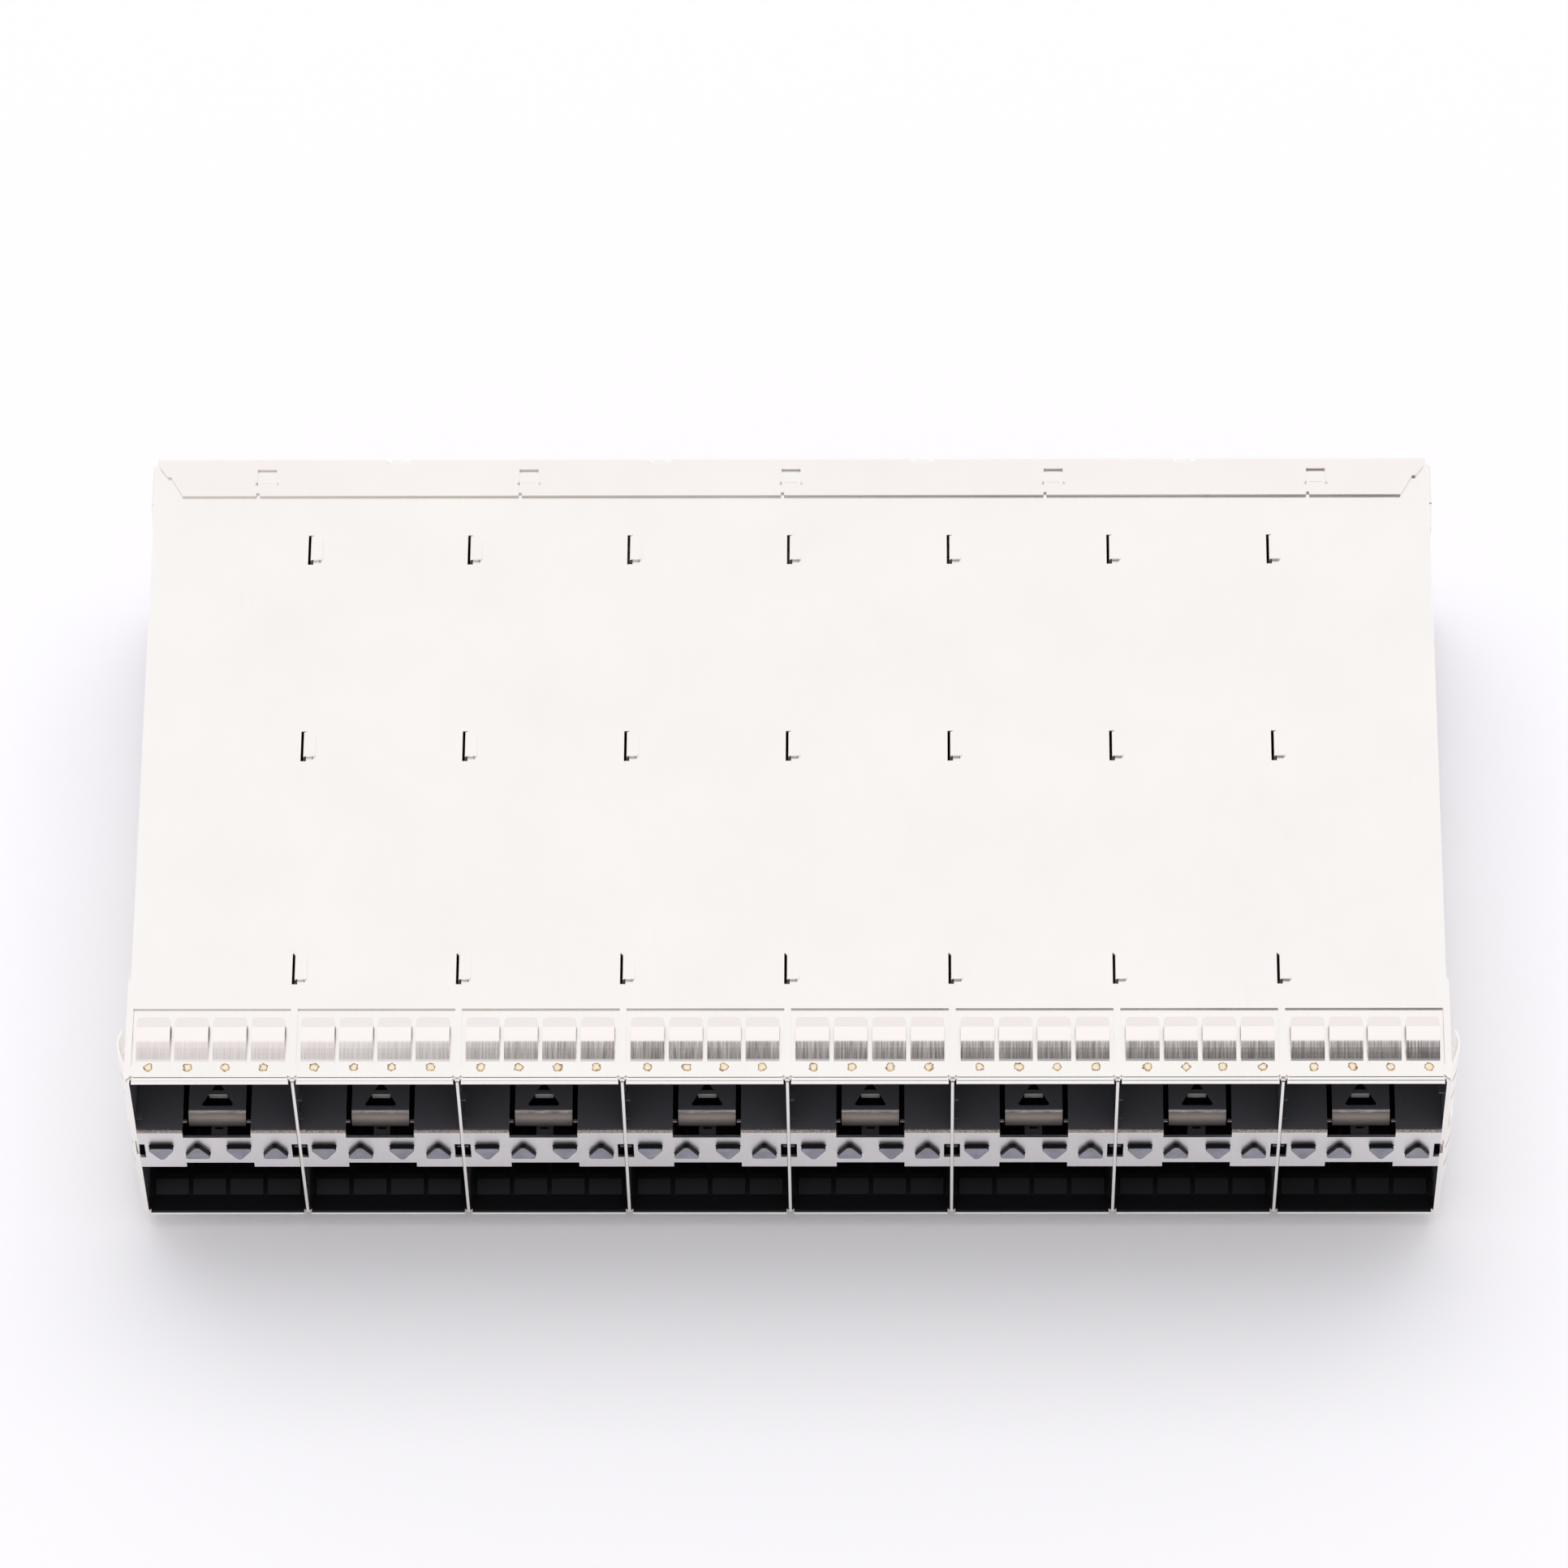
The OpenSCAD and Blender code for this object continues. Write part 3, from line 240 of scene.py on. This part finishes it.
# ---------------------------------------------------------------- materials
def plated_sheet(name, pale, dull, rough, port_shade=(), port_shade_colour="#FFFFFF", worn_and_shaded=(), painted_light_finishes=()):
    """Rolled strip with a bright tin or nickel plate: a satin metal that mirrors a pale
    room softly, with a fine rolled grain along the sheet and faint clouds in its gloss.
    The zones given for the inside of the ports carry painted shade: the sheet is painted the darker
    colour given with them there, and has little metal shine or gloss. The finishes in the first list
    lie under that painted shade and hold real marks, some with painted shade of their own. Those in the
    second list lie over it and are painted light and shade."""
    m, t = blank_material(name)
    pos = node(t, "ShaderNodeTexCoord")["Object"]
    xyz = node(t, "ShaderNodeSeparateXYZ", links={"Vector": pos})
    # rolled grain, drawn out along the cage; the real one is too fine to show, so this
    # one is 0.25 mm wide
    drawn = node(t, "ShaderNodeMapping", {"Scale": (1.0, 0.05, 0.4)}, {"Vector": pos})[0]
    grain = node(t, "ShaderNodeTexNoise", {"Scale": 1.0 / (0.25 * MM), "Detail": 3.0,
                 "Roughness": 0.6}, {"Vector": drawn})["Fac"]
    cloud = node(t, "ShaderNodeTexNoise", {"Scale": 1.0 / (9.0 * MM), "Detail": 4.0,
                 "Roughness": 0.55}, {"Vector": pos})["Fac"]
    mixed = node(t, "ShaderNodeMath", {"operation": "MULTIPLY_ADD", 1: 0.4}, {0: grain, 2: cloud})[0]
    tone = node(t, "ShaderNodeValToRGB", {"stops": [(0.45, dull), (0.9, pale)]}, {"Fac": mixed})[0]
    gloss = node(t, "ShaderNodeMapRange", {"From Min": 0.3, "From Max": 0.8, "To Min": rough - 0.03,
                 "To Max": rough + 0.05}, {"Value": cloud})[0]
    bump = node(t, "ShaderNodeBump", {"Strength": 0.10, "Distance": 0.006 * MM}, {"Height": grain})[0]
    for finish in worn_and_shaded:
        tone, bump = finish(t, pos, xyz, tone, bump)
    shine = {}
    if port_shade:
        # painted shade inside the ports: a dark colour, with most of the metal shine and gloss taken
        # away
        shade_mask = zone_mask(t, xyz, *port_shade)
        tone = node(t, "ShaderNodeMix", {"data_type": "RGBA", 7: lin(port_shade_colour)}, {0: shade_mask, 6: tone})[2]
        for socket, outer_value, inner_value in (("Metallic", 1.0, 0.15),
                                                 ("Specular IOR Level", 0.5, 0.15)):
            shine[socket] = node(t, "ShaderNodeMapRange", {"To Min": outer_value,
                                 "To Max": inner_value}, {"Value": shade_mask})[0]
    for finish in painted_light_finishes:
        tone, bump = finish(t, pos, xyz, tone, bump)
    shader = node(t, "ShaderNodeBsdfPrincipled", {"Metallic": 1.0},
                  {"Base Color": tone, "Roughness": gloss, "Normal": bump, **shine})
    node(t, "ShaderNodeOutputMaterial", links={"Surface": shader[0]})
    return m


def moulding(name, base, spot, rough, speck_mm):
    """Glass-filled moulding: near black, with a fine mottled skin."""
    m, t = blank_material(name)
    pos = node(t, "ShaderNodeTexCoord")["Object"]
    speck = node(t, "ShaderNodeTexNoise", {"Scale": 1.0 / (speck_mm * MM), "Detail": 2.0},
                 {"Vector": pos})["Fac"]
    tone = node(t, "ShaderNodeValToRGB", {"stops": [(0.35, base), (0.8, spot)]}, {"Fac": speck})[0]
    bump = node(t, "ShaderNodeBump", {"Strength": 0.2, "Distance": 0.01 * MM}, {"Height": speck})[0]
    shader = node(t, "ShaderNodeBsdfPrincipled", {"Roughness": rough},
                  {"Base Color": tone, "Normal": bump})
    node(t, "ShaderNodeOutputMaterial", links={"Surface": shader[0]})
    return m


def light_pipe(name):
    """Clear polycarbonate rod with nothing lit behind it, drawn opaque: its flat end is painted a smoky
    grey and its polished sides near black, with little gloss, painted shade for the dark cage seen
    through the clear rod."""
    m, t = blank_material(name)
    pos = node(t, "ShaderNodeTexCoord")["Object"]
    xyz = node(t, "ShaderNodeSeparateXYZ", links={"Vector": pos})
    end = zone_mask(t, xyz, zone(("Y", FRONT, -0.70, -0.76)))
    swirl = node(t, "ShaderNodeTexNoise", {"Scale": 1.0 / (1.1 * MM), "Detail": 2.0},
                 {"Vector": pos})["Fac"]
    # painted shade: the smoky grey of the rod's end
    face = node(t, "ShaderNodeValToRGB", {"stops": [(0.35, "#7A7A86"), (0.7, "#8E8E9C")]},
                {"Fac": swirl})[0]
    # painted shade: the rod's sides painted near black
    tone = node(t, "ShaderNodeMix", {"data_type": "RGBA", 6: lin("#141416")}, {0: end, 7: face})[2]
    glint = node(t, "ShaderNodeMapRange", {"To Min": 0.05, "To Max": 0.5}, {"Value": end})[0]
    shader = node(t, "ShaderNodeBsdfPrincipled", {"Roughness": 0.18, "IOR": 1.585},
                  {"Base Color": tone, "Specular IOR Level": glint})
    node(t, "ShaderNodeOutputMaterial", links={"Surface": shader[0]})
    return m


# Bright tin on copper alloy strip: nearly white, a touch warm, between satin and mirror.
TIN = ("#FDF9F4", "#F9F5F1")

# the dark colour given after a sheet's port zones is painted shade for the inside of the ports
MATERIALS = {
    "cage_shell": plated_sheet("nickel_silver_tin_plated_shell", *TIN, 0.20, SHELL_PORT_SHADE, "#5E5D63"),
    "front_collar": plated_sheet("spring_copper_tin_plated_brushed_fingers", *TIN, 0.20,
                                 worn_and_shaded=(brushed_and_shaded_fingers, weld_spots)),
    # the cover was plated in another batch, a little pinker than the rest
    "rear_cover": plated_sheet("nickel_silver_tin_plated_cover", "#FCF6F2", "#F9F2EF", 0.20),
    "bottom_plate": plated_sheet("nickel_silver_tin_plated_floor", *TIN, 0.20, PLATE_PORT_SHADE, "#343438"),
    "divider": plated_sheet("nickel_silver_tin_plated_divider", *TIN, 0.20, DIVIDER_PORT_SHADE, "#58575D"),
    # bright nickel on steel: greyer than the tin, and more satin
    "separator": plated_sheet("steel_nickel_plated_satin", "#E6E3E4", "#DEDBDC", 0.34,
                              SEPARATOR_PORT_SHADE, "#5E5D63", worn_and_shaded=(orange_peel_and_shade,), painted_light_finishes=(latch_grain_and_painted_light,)),
    "upper_spring": plated_sheet("spring_copper_tin_plated_upper_clip", *TIN, 0.22,
                                 UPPER_CLIP_PORT_SHADE, "#58575D"),
    "lower_spring": plated_sheet("spring_copper_tin_plated_lower_clip", *TIN, 0.22,
                                 LOWER_CLIP_PORT_SHADE, "#1E1E21"),
    "light_pipes": light_pipe("polycarbonate_clear_polished"),
    # liquid crystal polymer, moulded: a dull black that shows only from inside a port
    "connector_housing": moulding("glass_filled_lcp_black_moulded", "#0C0C0D", "#18181A", 0.5, 0.12),
    # flash gold over nickel: warm and glossy
    "contacts": plated_sheet("copper_alloy_gold_plated", "#E8C88A", "#C9A25C", 0.22),
}


def dress(node_name, material):
    """Gives every slot of a piece its material."""
    piece = bpy.data.objects[node_name]
    for slot in piece.material_slots:
        slot.material = material
    if not piece.material_slots:
        piece.data.materials.append(material)


for subpart in frame["record"]["subparts"]:
    dress(subpart["node"], MATERIALS[subpart["node"].rstrip("_12345678")])


# ---------------------------------------------------------------- stage
def bench():
    """Matt white bench top, painted a shade lighter towards its front: painted light that makes up for
    the dimmer light there.
    """
    bpy.ops.object.select_all(action="DESELECT")
    bpy.ops.mesh.primitive_plane_add(size=6.0, location=(0, 0, CAD_BOX[0][2]))
    top = bpy.context.object
    top.name = "bench_top"
    m, t = blank_material("matt_white_bench_top")
    pos = node(t, "ShaderNodeTexCoord")["Object"]
    y = node(t, "ShaderNodeSeparateXYZ", links={"Vector": pos})["Y"]
    back = node(t, "ShaderNodeMapRange", {"From Min": -0.09, "From Max": 0.05}, {"Value": y})[0]
    # painted light: the bench top painted lighter towards its front
    tone = node(t, "ShaderNodeValToRGB", {"stops": [(0.0, "#FFFDFF"), (1.0, "#FBFAFF")]},
                {"Fac": back})[0]
    shader = node(t, "ShaderNodeBsdfPrincipled", {"Roughness": 0.9, "Specular IOR Level": 0.1},
                  {"Base Color": tone})
    node(t, "ShaderNodeOutputMaterial", links={"Surface": shader[0]})
    top.data.materials.append(m)


def white_room():
    """A white room. What mirrors in the metal is that white room, with a darker patch
    overhead in front; the light that falls on things is a little lower, and the softbox
    makes up for it."""
    world = bpy.data.worlds.new("white_room")
    bpy.context.scene.world = world
    world.use_nodes = True
    t = world.node_tree
    t.nodes.clear()
    way = node(t, "ShaderNodeTexCoord")["Generated"]
    overhead = node(t, "ShaderNodeVectorMath", {"operation": "DOT_PRODUCT", 1: (0.0, -0.5, 0.866)},
                    {0: way})["Value"]
    across = node(t, "ShaderNodeSeparateXYZ", links={"Vector": way})["X"]
    near = node(t, "ShaderNodeMapRange", {"span": (0.90, 0.985)}, {"Value": overhead})[0]
    right = node(t, "ShaderNodeMapRange", {"span": (-0.08, 0.03)}, {"Value": across})[0]
    patch = node(t, "ShaderNodeMath", {"operation": "MULTIPLY"}, {0: near, 1: right})[0]
    seen = node(t, "ShaderNodeMapRange", {"To Min": 1.0, "To Max": 0.2}, {"Value": patch})[0]
    rays = node(t, "ShaderNodeLightPath")
    mirrored = rays["Is Camera Ray"]
    for ray in ("Is Glossy Ray", "Is Transmission Ray"):
        mirrored = node(t, "ShaderNodeMath", {"operation": "MAXIMUM"}, {0: mirrored, 1: rays[ray]})[0]
    strength = node(t, "ShaderNodeMix", {"data_type": "FLOAT", 2: 0.70}, {0: mirrored, 3: seen})[0]
    light = node(t, "ShaderNodeBackground", {"Color": (0.985, 0.985, 1.0, 1.0)},
                 {"Strength": strength})
    node(t, "ShaderNodeOutputWorld", links={"Surface": light[0]})


def softbox(name, place, target, size, power):
    """A large soft lamp overhead, which the metal doesn't mirror as a shape."""
    lamp = bpy.data.lights.new(name, "AREA")
    lamp.shape = "RECTANGLE"
    lamp.size, lamp.size_y = size
    lamp.energy = power
    o = bpy.data.objects.new(name, lamp)
    bpy.context.collection.objects.link(o)
    aim = Vector(target) - Vector(place)
    o.matrix_world = Matrix.Translation(place) @ aim.to_track_quat("-Z", "Y").to_matrix().to_4x4()
    o.visible_glossy = False


def camera(place_mm, down_deg, turn_deg, roll_deg, lens_mm):
    """A long lens, from in front and well above."""
    down, turn, roll = (math.radians(angle) for angle in (down_deg, turn_deg, roll_deg))
    ahead = Vector((math.sin(turn) * math.cos(down), math.cos(turn) * math.cos(down), -math.sin(down)))
    level = ahead.cross(Vector((0, 0, 1))).normalized()
    upright = level.cross(ahead)
    right = level * math.cos(roll) + upright * math.sin(roll)
    up = upright * math.cos(roll) - level * math.sin(roll)
    data = bpy.data.cameras.new("bench_camera")
    data.sensor_width = 36.0
    data.lens = lens_mm
    data.clip_start, data.clip_end = 0.05, 20.0
    o = bpy.data.objects.new("bench_camera", data)
    bpy.context.collection.objects.link(o)
    turned = Matrix((right, up, -ahead)).transposed().to_4x4()
    o.matrix_world = Matrix.Translation(Vector(place_mm) * MM) @ turned
    bpy.context.scene.camera = o


bench()
white_room()
softbox("top_softbox", (0.0, 0.28, 1.05), (0, 0, 0), (1.2, 0.9), 5.4)
camera((9.96, -400.9, 705.7), 59.65, -1.496, -1.355, 206.2174)
bpy.context.scene.view_settings.view_transform = "Standard"
